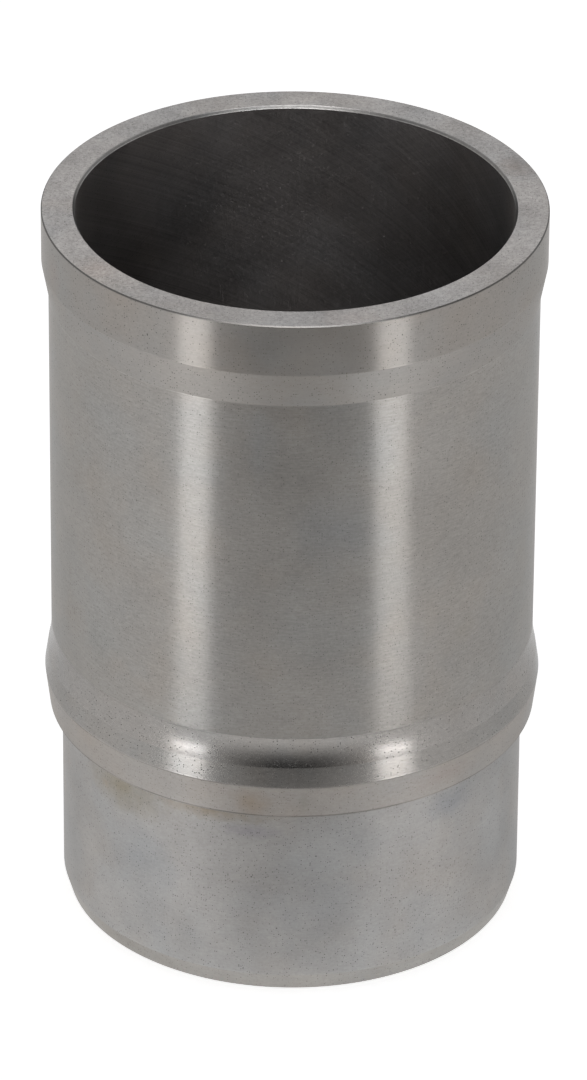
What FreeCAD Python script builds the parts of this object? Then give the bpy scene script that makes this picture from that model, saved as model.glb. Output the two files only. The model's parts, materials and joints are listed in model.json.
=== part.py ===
import FreeCAD, Part
import math
import os

# Cylinder liner: one thick-walled tube of cast iron, turned and ground outside and honed inside.
# Millimetres, +Z up along the bore. The origin is the centre of the bottom end face.
# From the bottom up, the outside is a spigot with a tapered lead-in, a flat seat, a collar that
# widens to its edge and narrows above it, a hollow flare, the long barrel, a relief cone and the
# top band.

# Bore
bore_diameter = 108.0
bore_top_chamfer_width = 0.55
bore_top_chamfer_height = 0.8
bore_bottom_chamfer = 0.5

# Spigot below the seat
spigot_wall = 4.0
seat_height = 53.1
seat_root_fillet = 0.6
lead_in_height = 4.6
lead_in_width = 1.3
bottom_edge_break = 0.2

# Collar: the seat is its underside, then a slow taper out to its edge, then a shoulder that narrows
seat_width = 3.2
seat_edge_break = 0.15
collar_taper_height = 9.1
collar_taper_widening = 1.1
shoulder_height = 5.3
shoulder_narrowing = 0.8

# Flare that runs from the barrel out into the shoulder
flare_height = 7.8
flare_swing = 0.9

# Barrel, relief cone and top band
barrel_length = 93.4
relief_cone_height = 9.1
relief_cone_widening = 1.7
top_band_height = 13.5
top_edge_break = 0.3

# Radii, from the bore outwards
bore_radius = bore_diameter / 2
spigot_radius = bore_radius + spigot_wall
seat_radius = spigot_radius + seat_width
collar_radius = seat_radius + collar_taper_widening
shoulder_top_radius = collar_radius - shoulder_narrowing
barrel_radius = shoulder_top_radius - flare_swing
band_radius = barrel_radius + relief_cone_widening

# Levels, from the bottom end face upwards
collar_edge = seat_height + collar_taper_height
shoulder_top = collar_edge + shoulder_height
barrel_foot = shoulder_top + flare_height
barrel_top = barrel_foot + barrel_length
band_foot = barrel_top + relief_cone_height
top_level = band_foot + top_band_height


def point(radius, level):
    """A point of the section, which lies in the XZ plane."""
    return FreeCAD.Vector(radius, 0, level)


def polyline(points):
    return [Part.LineSegment(a, b).toShape() for a, b in zip(points, points[1:])]


def bore_points():
    """The inner side, from the bottom end face up to the top face."""
    return [
        point(bore_radius + bore_bottom_chamfer, 0),
        point(bore_radius, bore_bottom_chamfer),
        point(bore_radius, top_level - bore_top_chamfer_height),
        point(bore_radius + bore_top_chamfer_width, top_level),
    ]


def band_and_barrel_points():
    """From the top face down the band and the relief cone to the foot of the barrel."""
    return [
        point(band_radius - top_edge_break, top_level),
        point(band_radius, top_level - top_edge_break),
        point(band_radius, band_foot),
        point(barrel_radius, barrel_top),
        point(barrel_radius, barrel_foot),
    ]


def flare_arc():
    """Hollow arc, tangent to the barrel, that meets the shoulder at a crisp edge."""
    arc_radius = (flare_height ** 2 + flare_swing ** 2) / (2 * flare_swing)
    centre = point(barrel_radius + arc_radius, barrel_foot)
    half_turn = math.atan2(flare_swing, flare_height)
    middle = centre - point(arc_radius * math.cos(half_turn), arc_radius * math.sin(half_turn))
    end = point(shoulder_top_radius, shoulder_top)
    return Part.Arc(point(barrel_radius, barrel_foot), middle, end).toShape()


def collar_points():
    """From the top of the shoulder over the collar edge, down the taper and in along the seat."""
    return [
        point(shoulder_top_radius, shoulder_top),
        point(collar_radius, collar_edge),
        point(seat_radius, seat_height + seat_edge_break),
        point(seat_radius - seat_edge_break, seat_height),
        point(spigot_radius + seat_root_fillet, seat_height),
    ]


def root_fillet_arc():
    """Quarter round in the corner between the seat and the spigot's wall."""
    centre = point(spigot_radius + seat_root_fillet, seat_height - seat_root_fillet)
    reach = seat_root_fillet * math.sqrt(0.5)
    start = centre + point(0, seat_root_fillet)
    end = centre - point(seat_root_fillet, 0)
    return Part.Arc(start, centre + point(-reach, reach), end).toShape()


def spigot_points():
    """From the root fillet down the wall and the lead-in to the bottom end face."""
    nose_radius = spigot_radius - lead_in_width
    return [
        point(spigot_radius, seat_height - seat_root_fillet),
        point(spigot_radius, lead_in_height),
        point(nose_radius, bottom_edge_break),
        point(nose_radius - bottom_edge_break, 0),
    ]


def wall_section():
    """The closed outline of the wall on one side of the axis."""
    bore = bore_points()
    edges = polyline(bore + band_and_barrel_points())
    edges.append(flare_arc())
    edges += polyline(collar_points())
    edges.append(root_fillet_arc())
    edges += polyline(spigot_points() + bore[:1])
    return Part.Face(Part.Wire(edges))


def cylinder_liner():
    axis_foot = FreeCAD.Vector(0, 0, 0)
    axis_direction = FreeCAD.Vector(0, 0, 1)
    return wall_section().revolve(axis_foot, axis_direction, 360)


os.makedirs("parts", exist_ok=True)
liner = cylinder_liner()
liner.exportStep("parts/cylinder_liner.step")
print("height", round(top_level, 2), "mm, volume", round(liner.Volume), "mm3, valid", liner.isValid())
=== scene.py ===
import json
import math
import bpy
from mathutils import Matrix, Vector


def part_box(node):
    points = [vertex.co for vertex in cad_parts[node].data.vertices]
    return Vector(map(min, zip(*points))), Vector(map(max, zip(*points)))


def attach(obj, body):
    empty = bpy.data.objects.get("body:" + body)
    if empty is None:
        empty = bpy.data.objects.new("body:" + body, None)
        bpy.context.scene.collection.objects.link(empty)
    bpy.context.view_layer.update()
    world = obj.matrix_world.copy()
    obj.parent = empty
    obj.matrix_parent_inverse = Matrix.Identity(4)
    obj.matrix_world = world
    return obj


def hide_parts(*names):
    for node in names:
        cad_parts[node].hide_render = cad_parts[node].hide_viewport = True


# Looks of a cylinder liner: one lathe mesh with a finish of its own on each turned, ground or honed
# surface. Metres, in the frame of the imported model: +Z up along the bore, the camera on the -Y side.

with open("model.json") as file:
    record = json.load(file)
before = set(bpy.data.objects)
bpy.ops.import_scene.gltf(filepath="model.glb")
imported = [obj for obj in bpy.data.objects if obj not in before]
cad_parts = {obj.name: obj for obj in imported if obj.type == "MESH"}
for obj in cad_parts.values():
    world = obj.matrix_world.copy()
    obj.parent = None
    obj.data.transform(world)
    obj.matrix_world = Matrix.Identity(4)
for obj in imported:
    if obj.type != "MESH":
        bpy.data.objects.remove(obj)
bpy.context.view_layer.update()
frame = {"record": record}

MM = 0.001
mounts = {mount["name"]: mount["dims"] for mount in frame["record"]["mounts"]}
node_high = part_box("cylinder_liner")[1]

# Widths and heights of the steps outside
SEAT_WIDTH = 3.2 * MM
TAPER_WIDENING = 1.1 * MM
TAPER_HEIGHT = 9.1 * MM
SHOULDER_NARROWING = 0.8 * MM
SHOULDER_HEIGHT = 5.3 * MM
FLARE_HEIGHT = 7.8 * MM
RELIEF_WIDENING = 1.7 * MM
RELIEF_HEIGHT = 9.1 * MM
BAND_HEIGHT = 13.5 * MM

# Radii and levels of the wall section
TOP = node_high.z
BORE_RADIUS = mounts["bore"]["r_mm"] * MM
SPIGOT_RADIUS = mounts["spigot"]["r_mm"] * MM
BAND_RADIUS = mounts["top_band"]["r_mm"] * MM
SEAT_RADIUS = SPIGOT_RADIUS + SEAT_WIDTH
COLLAR_RADIUS = SEAT_RADIUS + TAPER_WIDENING
SHOULDER_TOP_RADIUS = COLLAR_RADIUS - SHOULDER_NARROWING
BARREL_RADIUS = BAND_RADIUS - RELIEF_WIDENING
SEAT_LEVEL = 53.1 * MM
COLLAR_EDGE = SEAT_LEVEL + TAPER_HEIGHT
SHOULDER_TOP = COLLAR_EDGE + SHOULDER_HEIGHT
BARREL_FOOT = SHOULDER_TOP + FLARE_HEIGHT
BAND_FOOT = TOP - BAND_HEIGHT
BARREL_TOP = BAND_FOOT - RELIEF_HEIGHT

# Small breaks and rounds
BORE_CHAMFER_WIDTH = 0.55 * MM
BORE_CHAMFER_HEIGHT = 0.8 * MM
BORE_FOOT_CHAMFER = 0.5 * MM
INNER_EDGE_WIDTH = 0.25 * MM
INNER_EDGE_DROP = 0.05 * MM
TOP_EDGE_BREAK = 0.3 * MM
SEAT_EDGE_BREAK = 0.15 * MM
ROOT_FILLET = 0.6 * MM
LEAD_IN_HEIGHT = 4.6 * MM
LEAD_IN_WIDTH = 1.3 * MM
BOTTOM_EDGE_BREAK = 0.2 * MM

# Mesh
SEGMENTS = 640
ARC_STEPS = 24
FILLET_STEPS = 6

# Camera, fitted to the photograph's edges
CAMERA_PLACE = Vector((0.19, -1736.5, 1098.2)) * MM
CAMERA_PITCH = math.radians(29.97)
CAMERA_ROLL = math.radians(0.44)
FOCAL_PIXELS = 8000
PHOTO_HEIGHT = 1080
SENSOR = 36.0
CLIP_START = 0.05
CLIP_END = 50


def flare_arc():
    """Hollow arc from the shoulder's top edge up to the barrel, which it meets with no corner."""
    height = BARREL_FOOT - SHOULDER_TOP
    swing = SHOULDER_TOP_RADIUS - BARREL_RADIUS
    radius = (height ** 2 + swing ** 2) / (2 * swing)
    turn = math.atan2(height, radius - swing)
    points = []
    for step in range(ARC_STEPS + 1):
        angle = turn * (1 - step / ARC_STEPS)
        across = BARREL_RADIUS + radius * (1 - math.cos(angle))
        level = BARREL_FOOT - radius * math.sin(angle)
        points.append((across, level))
    return points


def root_fillet():
    """Quarter round from the spigot's wall up into the seat."""
    points = []
    for step in range(FILLET_STEPS + 1):
        angle = math.pi / 2 * step / FILLET_STEPS
        radius = SPIGOT_RADIUS + ROOT_FILLET * (1 - math.cos(angle))
        points.append((radius, SEAT_LEVEL - ROOT_FILLET * (1 - math.sin(angle))))
    return points


def wall_zones():
    """The closed section as zones, each a finish and its points, up the outside and down the bore."""
    nose = SPIGOT_RADIUS - LEAD_IN_WIDTH
    bore_foot = (BORE_RADIUS, BORE_FOOT_CHAMFER)
    bore_edge = (BORE_RADIUS, TOP - BORE_CHAMFER_HEIGHT)
    face_inner = (BORE_RADIUS + BORE_CHAMFER_WIDTH + INNER_EDGE_WIDTH, TOP)
    chamfer_top = (BORE_RADIUS + BORE_CHAMFER_WIDTH, TOP - INNER_EDGE_DROP)
    face_outer = (BAND_RADIUS - TOP_EDGE_BREAK, TOP)
    band_top = (BAND_RADIUS, TOP - TOP_EDGE_BREAK)
    foot_inner = (BORE_RADIUS + BORE_FOOT_CHAMFER, 0)
    foot_outer = (nose - BOTTOM_EDGE_BREAK, 0)
    lead_in_foot = (nose, BOTTOM_EDGE_BREAK)
    spigot_foot = (SPIGOT_RADIUS, LEAD_IN_HEIGHT)
    seat_outer = (SEAT_RADIUS - SEAT_EDGE_BREAK, SEAT_LEVEL)
    taper_foot = (SEAT_RADIUS, SEAT_LEVEL + SEAT_EDGE_BREAK)
    taper_top = (COLLAR_RADIUS, COLLAR_EDGE)
    shoulder_top = (SHOULDER_TOP_RADIUS, SHOULDER_TOP)
    return [
        ("underside", [foot_inner, foot_outer]),
        ("edge", [foot_outer, lead_in_foot]),
        ("lead_in", [lead_in_foot, spigot_foot]),
        ("spigot", [spigot_foot, (SPIGOT_RADIUS, SEAT_LEVEL - ROOT_FILLET)]),
        ("underside", root_fillet() + [seat_outer]),
        ("edge", [seat_outer, taper_foot]),
        ("taper", [taper_foot, taper_top]),
        ("shoulder", [taper_top, shoulder_top]),
        ("flare", flare_arc()),
        ("barrel", [(BARREL_RADIUS, BARREL_FOOT), (BARREL_RADIUS, BARREL_TOP)]),
        ("relief", [(BARREL_RADIUS, BARREL_TOP), (BAND_RADIUS, BAND_FOOT)]),
        ("band", [(BAND_RADIUS, BAND_FOOT), band_top]),
        ("outer_edge", [band_top, face_outer]),
        ("face", [face_outer, face_inner]),
        ("face", [face_inner, chamfer_top]),
        ("chamfer", [chamfer_top, bore_edge]),
        ("bore", [bore_edge, bore_foot]),
        ("underside", [bore_foot, foot_inner]),
    ]


# Patterns on the iron. A seed moves a pattern, so that no two lie alike, and limits are the values of a
# noise between which its effect grows.
SEED_STEP = 20.0
CLOUD_SIZE = 14 * MM
CLOUD_LIMITS = (0.3, 0.7)
CLOUD_DETAIL = 4.0
PATCH_DETAIL = 3.0
LINE_DETAIL = 1.0
GRAIN_SIZE = 0.7 * MM
GRAIN_SEED = 3.1
GRAIN_ROUGHNESS = 0.75
GRAIN_LIMITS = (0.25, 0.75)
TURNED_PITCH = 0.36 * MM
TURNED_LENGTH = 2.6 * MM

# Honing marks in the bore: degrees off upright, fineness, seed and share
HONING_MARKS = (
    (-60, 0.45 * MM, 0.0, 0.45),
    (60, 0.45 * MM, 5.0, 0.25),
    (-60, 1.60 * MM, 9.0, 0.30),
)
HONING_WAVES_UP = 4.0

# Pores and pale flecks: size of a cell, radius of the largest pit, and share of the cells with a pit. A pit
# is at its full depth within PIT_CORE of its radius.
FINE_PORES = (0.55 * MM, 0.20 * MM, 0.8)
LARGE_PORES = (3.20 * MM, 0.28 * MM, 0.5)
PALE_FLECKS = (1.10 * MM, 0.20 * MM, 0.4)
FLECK_SEED = 3.0
PIT_CORE = 0.4

# Stains: how fine and how strong the breaks in their edge are, and where the edge fades
STAIN_BREAK_SIZE = 0.3
STAIN_LEAST_WIDTH = 4 * MM
STAIN_BREAK_DEPTH = 0.9
STAIN_LIMITS = (1.35, 0.45)

# Painted highlight and shade rings along the edges: how they fade here and there, and how much of the width
# has their full tone
RING_PATCH_SIZE = 12 * MM
RING_SEED = 17.0
RING_LIMITS = (0.35, 0.65)
RING_FAINTEST = 0.3
RING_CORE = 0.3


def add_node(tree, kind, inputs=None, **settings):
    """Adds a node, gives it its settings, and links or sets its inputs by name or number."""
    node = tree.nodes.new(kind)
    for key, value in settings.items():
        setattr(node, key, value)
    for key, value in (inputs or {}).items():
        if isinstance(value, bpy.types.NodeSocket):
            tree.links.new(value, node.inputs[key])
        else:
            node.inputs[key].default_value = value
    return node


def calc(tree, operation, *values, clamp=False):
    """One Math node's result."""
    inputs = dict(enumerate(values))
    node = add_node(tree, "ShaderNodeMath", inputs, operation=operation, use_clamp=clamp)
    return node.outputs[0]


def spread(tree, value, low, high, to_low=0.0, to_high=1.0):
    """A value taken from one range to another, held at its ends."""
    limits = {"Value": value, "From Min": low, "From Max": high, "To Min": to_low, "To Max": to_high}
    return add_node(tree, "ShaderNodeMapRange", limits).outputs["Result"]


def mix(tree, factor, first, second, blend="MIX"):
    """Two colours mixed."""
    inputs = {0: factor, 6: first, 7: second}
    return add_node(tree, "ShaderNodeMix", inputs, data_type="RGBA", blend_type=blend).outputs[2]


def scaled_place(tree, place, factors, offset):
    """The place on the object, stretched along each axis and moved, to read a pattern at."""
    stretched = add_node(tree, "ShaderNodeVectorMath", {0: place, 1: factors}, operation="MULTIPLY")
    inputs = {0: stretched.outputs[0], 1: (offset,) * 3}
    return add_node(tree, "ShaderNodeVectorMath", inputs, operation="ADD").outputs[0]


def noise(tree, place, factors, offset, detail=2.0, roughness=0.5):
    """Noise from about 0 to 1, with factors as how many of its waves fit in a metre along X, Y and Z."""
    inputs = {"Vector": scaled_place(tree, place, factors, offset), "Scale": 1.0, "Detail": detail}
    inputs["Roughness"] = roughness
    return add_node(tree, "ShaderNodeTexNoise", inputs).outputs["Fac"]


def even_noise(tree, place, size, offset, detail=2.0):
    """Noise whose blotches are as wide as high."""
    return noise(tree, place, (1 / size,) * 3, offset, detail)


def turned_lines(tree, place, offset):
    """Noise drawn out round the axis, as a cutting tool leaves it."""
    waves = (1 / TURNED_LENGTH, 1 / TURNED_LENGTH, 1 / TURNED_PITCH)
    return noise(tree, place, waves, offset, detail=LINE_DETAIL)


def pores(tree, place, cell, radius, share):
    """1 inside small round pits, 0 outside. A share of a Voronoi pattern's cells has a pit, of any size."""
    pattern = add_node(tree, "ShaderNodeTexVoronoi", {"Vector": place, "Scale": 1 / cell}).outputs
    chance = add_node(tree, "ShaderNodeSeparateColor", {0: pattern["Color"]}).outputs[0]
    size = spread(tree, chance, 1 - share, 1.0, 0.0, radius / cell)
    return spread(tree, pattern["Distance"], size, calc(tree, "MULTIPLY", size, PIT_CORE))


def level_of(tree, place):
    """The level of a place."""
    return add_node(tree, "ShaderNodeSeparateXYZ", {0: place}).outputs["Z"]


def honing(tree, place, lean, fineness, offset):
    """Noise drawn out along a helix: the place is turned about the axis in step with its level."""
    angle = calc(tree, "MULTIPLY", level_of(tree, place), math.tan(math.radians(lean)) / BORE_RADIUS)
    inputs = {"Vector": place, "Angle": angle}
    turned = add_node(tree, "ShaderNodeVectorRotate", inputs, rotation_type="Z_AXIS").outputs[0]
    return noise(tree, turned, (1 / fineness, 1 / fineness, HONING_WAVES_UP), offset)


def honed_lines(tree, place, offset):
    """The crossed honing marks of the bore, added up by their shares."""
    lines = 0.0
    for lean, fineness, seed, share in HONING_MARKS:
        marks = honing(tree, place, lean, fineness, offset + seed)
        lines = calc(tree, "MULTIPLY_ADD", marks, share, lines)
    return lines


def surface_place(azimuth, radius, level):
    """A point on the object, with the azimuth in degrees from the camera's side towards +X."""
    angle = math.radians(azimuth)
    return Vector((radius * math.sin(angle), -radius * math.cos(angle), level))


def azimuth_of(tree, place):
    """The azimuth of a place, in degrees from the camera's side towards +X."""
    parts = add_node(tree, "ShaderNodeSeparateXYZ", {0: place}).outputs
    forward = calc(tree, "MULTIPLY", parts["Y"], -1.0)
    return calc(tree, "DEGREES", calc(tree, "ARCTAN2", parts["X"], forward))


def length_of(tree, vector):
    """The length of a vector."""
    return add_node(tree, "ShaderNodeVectorMath", {0: vector}, operation="LENGTH").outputs["Value"]


def stain(tree, place, colour, centre, width, height, tint, strength, offset):
    """Lays a soft, broken patch of another tint over a colour, round one point of the surface."""
    away = add_node(tree, "ShaderNodeVectorMath", {0: place, 1: centre}, operation="SUBTRACT").outputs[0]
    sizes = (2 / width, 2 / width, 2 / height)
    inside = add_node(tree, "ShaderNodeVectorMath", {0: away, 1: sizes}, operation="MULTIPLY").outputs[0]
    break_size = STAIN_BREAK_SIZE * max(min(width, height), STAIN_LEAST_WIDTH)
    breaks = even_noise(tree, place, break_size, offset, detail=PATCH_DETAIL)
    edge = calc(tree, "MULTIPLY_ADD", breaks, STAIN_BREAK_DEPTH, length_of(tree, inside))
    factor = spread(tree, edge, *STAIN_LIMITS, 0.0, strength)
    return mix(tree, factor, colour, (*tint, 1))


def paint_edge_light_and_shade(tree, place, tone, rings, offset):
    """Fine rings of painted light and shade round the wall: a painted highlight for a gain above 0, painted
    shade below, fading here and there.
    """
    patches = even_noise(tree, place, RING_PATCH_SIZE, offset + RING_SEED)
    fading = spread(tree, patches, *RING_LIMITS, RING_FAINTEST, 1.0)
    for level, half_width, gain in rings:
        away = calc(tree, "ABSOLUTE", calc(tree, "SUBTRACT", level_of(tree, place), level))
        amount = spread(tree, away, half_width, RING_CORE * half_width, 0.0, gain)
        tone = calc(tree, "MULTIPLY", tone, calc(tree, "MULTIPLY_ADD", amount, fading, 1.0))
    return tone


# Each finish: base colour, how widely the gloss spreads along the axis and around it, how much the tone
# drifts in blotches, how much turned lines show in the tone and in relief, how much its grain shows in
# the tone and in relief, and how dark its pores are
FINISH_KEYS = ("base", "along", "around", "drift", "lines", "relief", "grain", "grit", "pore")
FINISHES = {
    "face": ((0.356, 0.340, 0.331), 0.16, 0.16, 0.17, 0.03, 0.4, 0.30, 2.6, 0.50),
    "edge": ((0.350, 0.340, 0.328), 0.12, 0.10, 0.05, 0.03, 0.2, 0.05, 0.3, 0.00),
    # The outer edge's base is far darker than the iron beside it: a painted shade line along the top edge
    "outer_edge": ((0.110, 0.106, 0.102), 0.16, 0.16, 0.05, 0.03, 0.2, 0.10, 0.6, 0.00),
    # The chamfer's base is darker than the face's iron: painted shade between its two painted highlight
    # rings
    "chamfer": ((0.150, 0.146, 0.142), 0.12, 0.08, 0.10, 0.08, 0.5, 0.20, 1.5, 0.00),
    "band": ((0.313, 0.293, 0.274), 0.30, 0.035, 0.04, 0.04, 0.6, 0.07, 1.8, 0.60),
    "relief": ((0.333, 0.315, 0.297), 0.25, 0.17, 0.04, 0.04, 0.3, 0.07, 1.2, 0.50),
    "barrel": ((0.332, 0.316, 0.298), 0.30, 0.035, 0.05, 0.08, 0.8, 0.10, 2.8, 0.38),
    "flare": ((0.325, 0.309, 0.294), 0.055, 0.042, 0.04, 0.05, 0.3, 0.09, 0.7, 0.70),
    "shoulder": ((0.302, 0.288, 0.273), 0.055, 0.042, 0.04, 0.06, 0.3, 0.07, 0.6, 0.70),
    "taper": ((0.375, 0.349, 0.326), 0.24, 0.09, 0.05, 0.04, 0.3, 0.08, 1.0, 0.30),
    "spigot": ((0.384, 0.372, 0.362), 0.26, 0.16, 0.09, 0.04, 0.3, 0.09, 1.2, 0.45),
    "lead_in": ((0.385, 0.369, 0.350), 0.26, 0.12, 0.07, 0.04, 0.3, 0.08, 0.8, 0.40),
    "bore": ((0.182, 0.170, 0.166), 0.28, 0.12, 0.05, 0.34, 0.4, 0.07, 0.5, 0.20),
    "underside": ((0.300, 0.292, 0.284), 0.20, 0.20, 0.06, 0.06, 0.6, 0.08, 0.5, 0.30),
}

# Painted highlights and painted shade in rings along the edges, where edge breaks catch light and small
# steps and the seat shade the wall: level, half of the width, and how much lighter or darker
EDGE_LIGHT_AND_SHADE_LINES = {
    "chamfer": [(TOP - 0.1 * MM, 0.14 * MM, 1.0), (TOP - 0.73 * MM, 0.14 * MM, 1.0)],
    "band": [(TOP - 0.45 * MM, 0.2 * MM, -0.15), (BAND_FOOT + 0.12 * MM, 0.2 * MM, 0.15)],
    "barrel": [(BARREL_TOP - 0.15 * MM, 0.2 * MM, 0.15)],
    "flare": [(BARREL_FOOT - 0.3 * MM, 0.35 * MM, -0.10)],
    "shoulder": [(COLLAR_EDGE + 0.15 * MM, 0.2 * MM, 0.2)],
    "taper": [(COLLAR_EDGE - 0.15 * MM, 0.22 * MM, -0.35), (SEAT_LEVEL + 0.35 * MM, 0.25 * MM, -0.4)],
    "spigot": [(LEAD_IN_HEIGHT + 0.2 * MM, 0.25 * MM, 0.08)],
}

# Stains, by finish: azimuth, level, width, height, tint and strength
STAINS = {
    "spigot": [
        (-46, 48.5 * MM, 38 * MM, 17 * MM, (0.296, 0.264, 0.206), 0.85),
        (-20, 50.8 * MM, 46 * MM, 7 * MM, (0.304, 0.262, 0.206), 0.85),
        (-10, 46.5 * MM, 20 * MM, 5 * MM, (0.285, 0.268, 0.300), 0.50),
        (-53, 46.5 * MM, 4 * MM, 4 * MM, (0.400, 0.320, 0.240), 0.30),
        (43, 46.0 * MM, 20 * MM, 12 * MM, (0.285, 0.300, 0.325), 0.50),
        (-39, 31.0 * MM, 32 * MM, 26 * MM, (0.300, 0.312, 0.325), 0.45),
        (8, 24.0 * MM, 34 * MM, 20 * MM, (0.305, 0.315, 0.328), 0.45),
        (56, 34.0 * MM, 14 * MM, 0.5 * MM, (0.480, 0.470, 0.460), 0.35),
        (13, 25.0 * MM, 7 * MM, 0.4 * MM, (0.230, 0.220, 0.210), 0.35),
    ],
    "lead_in": [(-45, 3.0 * MM, 40 * MM, 8 * MM, (0.310, 0.285, 0.255), 0.50)],
    "taper": [
        (-9, 57.5 * MM, 13 * MM, 12 * MM, (0.335, 0.278, 0.222), 0.80),
        (3, 57.5 * MM, 4 * MM, 8 * MM, (0.280, 0.272, 0.230), 0.45),
        (37, 58.0 * MM, 26 * MM, 8 * MM, (0.330, 0.280, 0.262), 0.40),
    ],
    "face": [
        (-55, TOP, 14 * MM, 8 * MM, (0.310, 0.262, 0.238), 0.50),
        (112, TOP, 16 * MM, 8 * MM, (0.290, 0.245, 0.215), 0.50),
        (12, TOP, 18 * MM, 8 * MM, (0.290, 0.250, 0.238), 0.35),
    ],
    "band": [
        (-70, 183.0 * MM, 12 * MM, 14 * MM, (0.310, 0.262, 0.240), 0.40),
    ],
    "barrel": [
        (44, 97.0 * MM, 9 * MM, 10 * MM, (0.300, 0.282, 0.245), 0.40),
        (10, 134.0 * MM, 30 * MM, 28 * MM, (0.300, 0.306, 0.314), 0.55),
        (-8, 158.0 * MM, 12 * MM, 26 * MM, (0.298, 0.306, 0.314), 0.50),
        (34, 128.0 * MM, 60 * MM, 66 * MM, (0.298, 0.281, 0.262), 0.60),
        (-52, 88.0 * MM, 16 * MM, 22 * MM, (0.280, 0.282, 0.272), 0.40),
    ],
}
STAIN_RADII = {
    "spigot": SPIGOT_RADIUS,
    "lead_in": SPIGOT_RADIUS - LEAD_IN_WIDTH / 2,
    "taper": (SEAT_RADIUS + COLLAR_RADIUS) / 2,
    "face": (BORE_RADIUS + BAND_RADIUS) / 2,
    "band": BAND_RADIUS,
    "barrel": BARREL_RADIUS,
}

# How much lighter the pale flecks are, on the finishes that have them
FLECKS = {"face": 0.35, "chamfer": 0.5}

# Faint clouds of another tint over each finish: size, seed, limits, strength and tint
TINTS = (
    (22 * MM, 7.7, (0.45, 0.70), 0.8, (0.965, 1.000, 1.030, 1)),
    (17 * MM, 12.3, (0.50, 0.75), 0.7, (1.030, 0.992, 0.955, 1)),
)

# Gloss: how much its width drifts and how much its grain shows, how rough a pore is, and the relief
ROUGHNESS_DRIFT = 0.05
ROUGHNESS_GRAIN = 0.08
PORE_ROUGHNESS = 0.45
ANISOTROPY_SCALE = 0.9
QUARTER_TURN = 0.25
GRAZING_TINT = 0.75
BUMP_STRENGTH = 0.5
BUMP_HEIGHT = 0.01 * MM


def around_one(tree, pattern, limits, amount):
    """A pattern as a factor that goes from an amount below 1 to as much above."""
    return spread(tree, pattern, *limits, 1 - amount, 1 + amount)


def gloss(along, around):
    """The shader's roughness and anisotropy for a gloss spread along the axis and around it."""
    return (along * around) ** 0.25, (1 - around / along) / ANISOTROPY_SCALE


def iron_colour(tree, place, name, finish, lines, pits, grain, clouds, offset):
    """The base colour of one zone: its blotches, lines, grain, pits, stains, and rings of painted highlight
    and shade.
    """
    colour = (*finish["base"], 1)
    for size, seed, limits, strength, tint in TINTS:
        cloud = even_noise(tree, place, size, offset + seed, detail=PATCH_DETAIL)
        colour = mix(tree, spread(tree, cloud, *limits, 0.0, strength), colour, tint, "MULTIPLY")
    for index, (azimuth, level, width, height, tint, strength) in enumerate(STAINS.get(name, [])):
        centre = surface_place(azimuth, STAIN_RADII[name], level)
        colour = stain(tree, place, colour, centre, width, height, tint, strength, offset + index)
    tone = around_one(tree, clouds, CLOUD_LIMITS, finish["drift"])
    for pattern, amount in ((lines, finish["lines"]), (grain, finish["grain"])):
        tone = calc(tree, "MULTIPLY", tone, around_one(tree, pattern, GRAIN_LIMITS, amount))
    tone = calc(tree, "MULTIPLY", tone, calc(tree, "MULTIPLY_ADD", pits, -finish["pore"], 1.0))
    if name in FLECKS:
        flecks = pores(tree, scaled_place(tree, place, (1, 1, 1), FLECK_SEED), *PALE_FLECKS)
        tone = calc(tree, "MULTIPLY", tone, calc(tree, "MULTIPLY_ADD", flecks, FLECKS[name], 1.0))
    # Painted highlights and painted shade in thin rings along the edges
    tone = paint_edge_light_and_shade(tree, place, tone, EDGE_LIGHT_AND_SHADE_LINES.get(name, []), offset)
    return mix(tree, 1.0, colour, tone, "MULTIPLY")


def iron_finish(name, offset):
    """The material of one zone: colour, roughness and bump, all from patterns in the object's own place."""
    finish = dict(zip(FINISH_KEYS, FINISHES[name]))
    material = bpy.data.materials.new("iron_" + name)
    material.use_nodes = True
    tree = material.node_tree
    shader = tree.nodes["Principled BSDF"]
    place = add_node(tree, "ShaderNodeTexCoord").outputs["Object"]

    clouds = even_noise(tree, place, CLOUD_SIZE, offset, detail=CLOUD_DETAIL)
    grain = noise(tree, place, (1 / GRAIN_SIZE,) * 3, offset + GRAIN_SEED, roughness=GRAIN_ROUGHNESS)
    make_lines = honed_lines if name == "bore" else turned_lines
    lines = make_lines(tree, place, offset)
    fine_pits = pores(tree, place, *FINE_PORES)
    large_pits = pores(tree, place, *LARGE_PORES)
    pits = calc(tree, "MAXIMUM", fine_pits, large_pits)
    colour = iron_colour(tree, place, name, finish, lines, pits, grain, clouds, offset)
    tree.links.new(colour, shader.inputs["Base Color"])

    roughness, anisotropy = gloss(finish["along"], finish["around"])
    least = roughness * (1 - ROUGHNESS_DRIFT)
    most = roughness * (1 + ROUGHNESS_DRIFT)
    rough = spread(tree, clouds, *CLOUD_LIMITS, least, most)
    rough = calc(tree, "MULTIPLY", rough, around_one(tree, grain, GRAIN_LIMITS, ROUGHNESS_GRAIN))
    rough = calc(tree, "MULTIPLY_ADD", pits, PORE_ROUGHNESS, rough)
    tree.links.new(rough, shader.inputs["Roughness"])
    shader.inputs["Metallic"].default_value = 1.0
    shader.inputs["Specular Tint"].default_value = (GRAZING_TINT, GRAZING_TINT, GRAZING_TINT, 1)
    shader.inputs["Anisotropic"].default_value = anisotropy
    shader.inputs["Anisotropic Rotation"].default_value = QUARTER_TURN
    tangent = add_node(tree, "ShaderNodeTangent", direction_type="RADIAL", axis="Z")
    tree.links.new(tangent.outputs[0], shader.inputs["Tangent"])

    gritty = calc(tree, "MULTIPLY", grain, finish["grit"])
    height = calc(tree, "MULTIPLY_ADD", lines, finish["relief"], gritty)
    height = calc(tree, "MULTIPLY_ADD", pits, -1.0, height)
    inputs = {"Height": height, "Strength": BUMP_STRENGTH, "Distance": BUMP_HEIGHT}
    bump = add_node(tree, "ShaderNodeBump", inputs)
    tree.links.new(bump.outputs[0], shader.inputs["Normal"])
    return material


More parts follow.
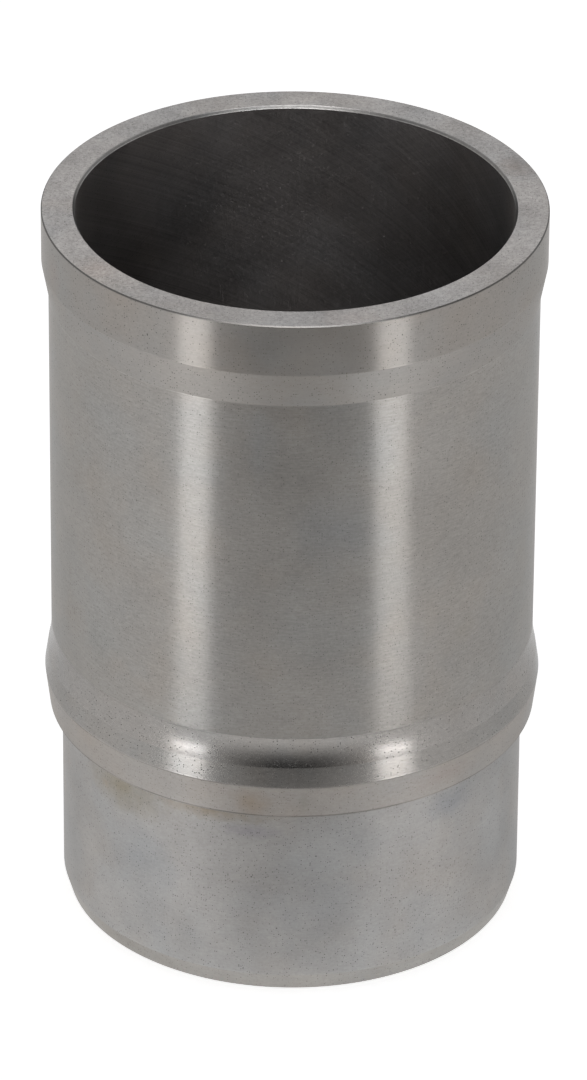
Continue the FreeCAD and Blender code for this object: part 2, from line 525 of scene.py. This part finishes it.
def lathe_mesh(zones):
    """Turns the zones' section round the Z axis into a closed mesh, with a material for each finish."""
    outline = []
    finishes = []
    corners = []
    for name, points in zones:
        corners.append(len(outline))
        for point in points[:-1]:
            outline.append(point)
            finishes.append(name)
    names = list(dict.fromkeys(finishes))
    count = len(outline)
    vertices = []
    for segment in range(SEGMENTS):
        angle = 2 * math.pi * segment / SEGMENTS
        for radius, level in outline:
            vertices.append((radius * math.cos(angle), radius * math.sin(angle), level))
    faces = []
    slots = []
    for segment in range(SEGMENTS):
        here = segment * count
        there = (segment + 1) % SEGMENTS * count
        for index in range(count):
            after = (index + 1) % count
            faces.append((here + index, there + index, there + after, here + after))
            slots.append(names.index(finishes[index]))
    mesh = bpy.data.meshes.new("liner_body")
    mesh.from_pydata(vertices, [], faces)
    for index, name in enumerate(names):
        mesh.materials.append(iron_finish(name, SEED_STEP * index))
    mesh.polygons.foreach_set("material_index", slots)
    mesh.polygons.foreach_set("use_smooth", [True] * len(faces))
    # The flare runs into the barrel with no corner
    crisp = {corner for (name, points), corner in zip(zones, corners) if name != "barrel"}
    keep_corners_crisp(mesh, count, crisp)
    return mesh


def keep_corners_crisp(mesh, count, corners):
    """Marks each ring of edges at a corner of the section as sharp."""
    sharp = mesh.attributes.new("sharp_edge", "BOOLEAN", "EDGE")
    for edge in mesh.edges:
        first, second = edge.vertices
        if first % count == second % count and first % count in corners:
            sharp.data[edge.index].value = True


def make_liner():
    """The liner itself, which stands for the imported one."""
    mesh = lathe_mesh(wall_zones())
    liner = bpy.data.objects.new("liner", mesh)
    bpy.context.scene.collection.objects.link(liner)
    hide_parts("cylinder_liner")
    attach(liner, "root")


# Light: brightness is written so that 1 is white. Azimuths and elevations are in degrees.
FLOOR_SIZE = 12.0
FLOOR_COLOUR = (0.86, 0.86, 0.86, 1)
FLOOR_ROUGHNESS = 0.9
FLOOR_GLOSS = 0.1
FLOOR_LIFT = 0.70
FLOOR_LIFT_EDGE = 1 * MM
SKY_SEEN = 1.0
SKY_LIGHT = 0.4

# A strip lamp at each side of the front, with its glow by side, and a large box high at the back
STRIP_AZIMUTH = 43.4
STRIP_ELEVATION = 2
STRIP_DISTANCE = 1.3
STRIP_SIZE = (0.28, 0.23)
STRIP_GLOWS = ((-1, 2.1), (1, 0.5))
TOP_BOX_AZIMUTH = 180
TOP_BOX_ELEVATION = 68
TOP_BOX_DISTANCE = 1.6
TOP_BOX_SIZE = (1.2, 1.2)
TOP_BOX_GLOW = 0.3

# Boards overhead, seen only by reflections: a bright one in front, a glowing painted reflection, and a
# darker one at each side at the back, a painted dark reflection, with its glow by side
BOARD_LEVEL = 0.75
BOARD_INNER_RADIUS = 0.01
FRONT_BOARD_RADIUS = 0.36
FRONT_BOARD_AZIMUTHS = range(-40, 41, 5)
FRONT_BOARD_GLOW = 16.6
BACK_BOARD_RADIUS = 0.75
BACK_BOARD_AZIMUTHS = range(60, 171, 10)
BACK_BOARD_GLOWS = ((-1, 0.51), (1, 0.00))

# What the walls mirror, as glowing sheets that only reflections see: a dark card in front, a painted dark
# reflection, and a mat on the floor, a painted reflection of the floor's light and shade. Both are darkest
# within FRONT_HALF_WIDTH of the front and rise to their side level at their side azimuth. The mat's level
# goes by the distance from the barrel at the front, and by the azimuth at the sides, with painted shade in
# front. It has a painted pool of light before each strip lamp. FRONT_LEVELS and POOL_SHARES start each pair
# with that distance in metres, SIDE_LEVELS with the azimuth.
FRONT_HALF_WIDTH = 4
RISE_POWER = 2.0
CARD_RADIUS = 0.8
CARD_HEIGHT = 0.95
CARD_AZIMUTHS = range(-36, 37, 3)
# The card's glow: a painted dark reflection in front, rising to its side level
CARD_LEVEL = 0.04
CARD_SIDE_LEVEL = 0.95
CARD_SIDE_AZIMUTH = 46
MAT_LIFT = 0.5 * MM
MAT_GAP = 1 * MM
MAT_REACH = 0.75
MAT_AZIMUTHS = range(-150, 151, 5)
MAT_SIDE_AZIMUTH = 42
# The mat's front levels by distance from the barrel: painted light and shade as reflections see it
FRONT_LEVELS = [
    (0.0, 1.00), (0.03, 0.76), (0.06, 0.30), (0.1, 1.26), (0.15, 0.95),
    (0.2, 0.52), (0.25, 0.05), (0.32, 0.08), (0.45, 0.00),
]
SIDE_LEVELS = [
    (-132, 0.92), (-108, 0.90), (-75, 0.93), (-50, 0.96),
    (50, 0.93), (73, 0.82), (97, 0.80), (128, 0.86),
]
# Painted pools of light on the mat, one before each strip lamp
POOL_AZIMUTH = 42.5
POOL_HALF_WIDTH = 9
POOL_CORE = 0.6
POOL_GLOW = 5.0
POOL_SHARES = [
    (0.236, 0.00), (0.25, 1.72), (0.284, 1.72), (0.3, 0.00), (0.42, 0.00), (0.5, 0.10), (0.75, 0.10),
]


def seen_directly(tree):
    """1 for camera, glossy and transmission rays, and 0 for the rest."""
    rays = add_node(tree, "ShaderNodeLightPath")
    total = calc(tree, "ADD", rays.outputs["Is Camera Ray"], rays.outputs["Is Glossy Ray"])
    return calc(tree, "ADD", total, rays.outputs["Is Transmission Ray"], clamp=True)


def make_floor():
    """A wide sheet of pale paper, with a little light of its own, but none inside the liner."""
    mesh = bpy.data.meshes.new("floor")
    half = FLOOR_SIZE / 2
    corners = [(-half, -half, 0), (half, -half, 0), (half, half, 0), (-half, half, 0)]
    mesh.from_pydata(corners, [], [(0, 1, 2, 3)])
    material = bpy.data.materials.new("floor_paper")
    material.use_nodes = True
    tree = material.node_tree
    shader = tree.nodes["Principled BSDF"]
    shader.inputs["Base Color"].default_value = FLOOR_COLOUR
    shader.inputs["Roughness"].default_value = FLOOR_ROUGHNESS
    shader.inputs["Specular IOR Level"].default_value = FLOOR_GLOSS
    shader.inputs["Emission Color"].default_value = (1, 1, 1, 1)
    place = add_node(tree, "ShaderNodeTexCoord").outputs["Object"]
    outside = spread(tree, length_of(tree, place), BORE_RADIUS, BORE_RADIUS + FLOOR_LIFT_EDGE)
    lift = calc(tree, "MULTIPLY", calc(tree, "MULTIPLY", seen_directly(tree), FLOOR_LIFT), outside)
    tree.links.new(lift, shader.inputs["Emission Strength"])
    mesh.materials.append(material)
    floor = bpy.data.objects.new("floor", mesh)
    bpy.context.scene.collection.objects.link(floor)


def make_sky():
    """White to the eye and in reflections, and a dimmer light on surfaces."""
    world = bpy.data.worlds.new("studio")
    world.use_nodes = True
    tree = world.node_tree
    strength = spread(tree, seen_directly(tree), 0.0, 1.0, SKY_LIGHT, SKY_SEEN)
    background = tree.nodes["Background"]
    background.inputs["Color"].default_value = (1, 1, 1, 1)
    tree.links.new(strength, background.inputs["Strength"])
    bpy.context.scene.world = world


def soft_box(name, azimuth, elevation, distance, size, glow):
    """A rectangular lamp that faces the object, placed by its angles seen from there."""
    width, height = size
    data = bpy.data.lights.new(name, "AREA")
    data.shape = "RECTANGLE"
    data.size = width
    data.size_y = height
    data.energy = glow * math.pi * width * height
    lamp = bpy.data.objects.new(name, data)
    bpy.context.scene.collection.objects.link(lamp)
    rise = math.radians(elevation)
    middle = Vector((0, 0, TOP / 2))
    side = surface_place(azimuth, 1.0, 0.0)
    away = side * math.cos(rise) + Vector((0, 0, math.sin(rise)))
    lamp.location = middle + away * distance
    lamp.rotation_euler = away.to_track_quat("Z", "Y").to_euler()
    lamp.visible_camera = False


def graded(tree, value, stops):
    """A level read off between stops, each a value from 0 to 1 and its level."""
    ramp = add_node(tree, "ShaderNodeValToRGB", {0: value})
    elements = ramp.color_ramp.elements
    elements.remove(elements[1])
    elements[0].position = stops[0][0]
    elements[0].color = (stops[0][1],) * 3 + (1,)
    for position, level in stops[1:]:
        elements.new(position).color = (level,) * 3 + (1,)
    return ramp.outputs[0]


def rise_to_side(tree, azimuth, side_azimuth):
    """0 straight in front, growing to 1 at the side azimuth, left and right."""
    off_centre = calc(tree, "ABSOLUTE", azimuth)
    share = spread(tree, off_centre, FRONT_HALF_WIDTH, side_azimuth)
    return calc(tree, "POWER", share, RISE_POWER)


def fan(azimuths, near, far):
    """Two rows of points round the object, each row at a radius and level of its own."""
    points = []
    for azimuth in azimuths:
        points.append(surface_place(azimuth, *near))
        points.append(surface_place(azimuth, *far))
    return points


def reflected_sheet(name, vertices, level_nodes):
    """A glowing sheet, as two rows of vertices, which only reflections see."""
    faces = [(index, index + 2, index + 3, index + 1) for index in range(0, len(vertices) - 2, 2)]
    mesh = bpy.data.meshes.new(name)
    mesh.from_pydata(vertices, [], faces)
    material = bpy.data.materials.new(name)
    material.use_nodes = True
    tree = material.node_tree
    place = add_node(tree, "ShaderNodeTexCoord").outputs["Object"]
    light = add_node(tree, "ShaderNodeEmission", {"Strength": level_nodes(tree, place)})
    tree.links.new(light.outputs[0], tree.nodes["Material Output"].inputs["Surface"])
    mesh.materials.append(material)
    sheet = bpy.data.objects.new(name, mesh)
    bpy.context.scene.collection.objects.link(sheet)
    sheet.visible_camera = False
    sheet.visible_diffuse = False
    sheet.visible_shadow = False


def dark_reflection_level(tree, place):
    """The dark card's glow by azimuth: a painted dark reflection in front, rising at the sides."""
    rise = rise_to_side(tree, azimuth_of(tree, place), CARD_SIDE_AZIMUTH)
    return calc(tree, "MULTIPLY_ADD", rise, CARD_SIDE_LEVEL - CARD_LEVEL, CARD_LEVEL)


def floor_reflection_level(tree, place):
    """The mat's glow by distance and azimuth: painted shade in front and two painted pools of light."""
    azimuth = azimuth_of(tree, place)
    reach = calc(tree, "SUBTRACT", length_of(tree, place), BARREL_RADIUS)
    share_of_reach = calc(tree, "DIVIDE", reach, MAT_REACH)
    front_stops = [(reach_at / MAT_REACH, level) for reach_at, level in FRONT_LEVELS]
    pool_stops = [(reach_at / MAT_REACH, share) for reach_at, share in POOL_SHARES]
    side_stops = [((azimuth_at + 180) / 360, level) for azimuth_at, level in SIDE_LEVELS]
    front = graded(tree, share_of_reach, front_stops)
    side = graded(tree, spread(tree, azimuth, -180, 180), side_stops)
    level = mix(tree, rise_to_side(tree, azimuth, MAT_SIDE_AZIMUTH), front, side)
    off_front = calc(tree, "ABSOLUTE", azimuth)
    off_pool = calc(tree, "ABSOLUTE", calc(tree, "SUBTRACT", off_front, POOL_AZIMUTH))
    across = spread(tree, off_pool, POOL_HALF_WIDTH, POOL_CORE * POOL_HALF_WIDTH)
    along = calc(tree, "MULTIPLY", graded(tree, share_of_reach, pool_stops), POOL_GLOW)
    return calc(tree, "MULTIPLY_ADD", across, along, level)


def board(name, azimuths, radius, glow):
    """A level board overhead, a sector out to a radius, with an even glow that only reflections see: a
    painted reflection.
    """
    points = fan(azimuths, (BOARD_INNER_RADIUS, BOARD_LEVEL), (radius, BOARD_LEVEL))
    reflected_sheet(name, points, lambda tree, place: glow)


def make_boards():
    """The bright board in front, a painted bright reflection, and the two at the back, painted dark
    reflections.
    """
    board("front_bright_reflection", FRONT_BOARD_AZIMUTHS, FRONT_BOARD_RADIUS, FRONT_BOARD_GLOW)
    for side, glow in BACK_BOARD_GLOWS:
        azimuths = [side * azimuth for azimuth in BACK_BOARD_AZIMUTHS]
        board("back_dark_reflection_%d" % (side + 2), azimuths, BACK_BOARD_RADIUS, glow)


def make_dark_front_reflection():
    """The dark card, upright in front, seen only in reflections: a painted dark reflection."""
    points = fan(CARD_AZIMUTHS, (CARD_RADIUS, MAT_LIFT), (CARD_RADIUS, CARD_HEIGHT))
    reflected_sheet("front_dark_reflection", points, dark_reflection_level)


def make_floor_reflection_sheet():
    """The mat, from the spigot's foot out to the card, seen only in reflections: a painted reflection of
    the floor's light and shade.
    """
    points = fan(MAT_AZIMUTHS, (SPIGOT_RADIUS + MAT_GAP, MAT_LIFT), (CARD_RADIUS, MAT_LIFT))
    reflected_sheet("mat", points, floor_reflection_level)


def make_lights():
    """The whole studio, apart from its floor."""
    make_sky()
    for side, glow in STRIP_GLOWS:
        azimuth = side * STRIP_AZIMUTH
        soft_box("strip_%d" % (side + 2), azimuth, STRIP_ELEVATION, STRIP_DISTANCE, STRIP_SIZE, glow)
    soft_box("top_box", TOP_BOX_AZIMUTH, TOP_BOX_ELEVATION, TOP_BOX_DISTANCE, TOP_BOX_SIZE, TOP_BOX_GLOW)
    make_boards()
    make_dark_front_reflection()
    make_floor_reflection_sheet()


def make_camera():
    """The camera, with its roll and pitch from the fit."""
    data = bpy.data.cameras.new("camera")
    data.sensor_width = SENSOR
    data.lens = FOCAL_PIXELS * SENSOR / PHOTO_HEIGHT
    data.clip_start = CLIP_START
    data.clip_end = CLIP_END
    forward = Vector((0, math.cos(CAMERA_PITCH), -math.sin(CAMERA_PITCH)))
    level_right = Vector((1, 0, 0))
    level_up = Vector((0, math.sin(CAMERA_PITCH), math.cos(CAMERA_PITCH)))
    right = level_right * math.cos(CAMERA_ROLL) + level_up * math.sin(CAMERA_ROLL)
    up = level_up * math.cos(CAMERA_ROLL) - level_right * math.sin(CAMERA_ROLL)
    camera = bpy.data.objects.new("camera", data)
    bpy.context.scene.collection.objects.link(camera)
    camera.location = CAMERA_PLACE
    camera.rotation_euler = Matrix((right, up, -forward)).transposed().to_euler()
    bpy.context.scene.camera = camera


make_camera()
make_floor()
make_lights()
make_liner()
bpy.context.scene.view_settings.view_transform = "Standard"

bpy.context.view_layer.update()
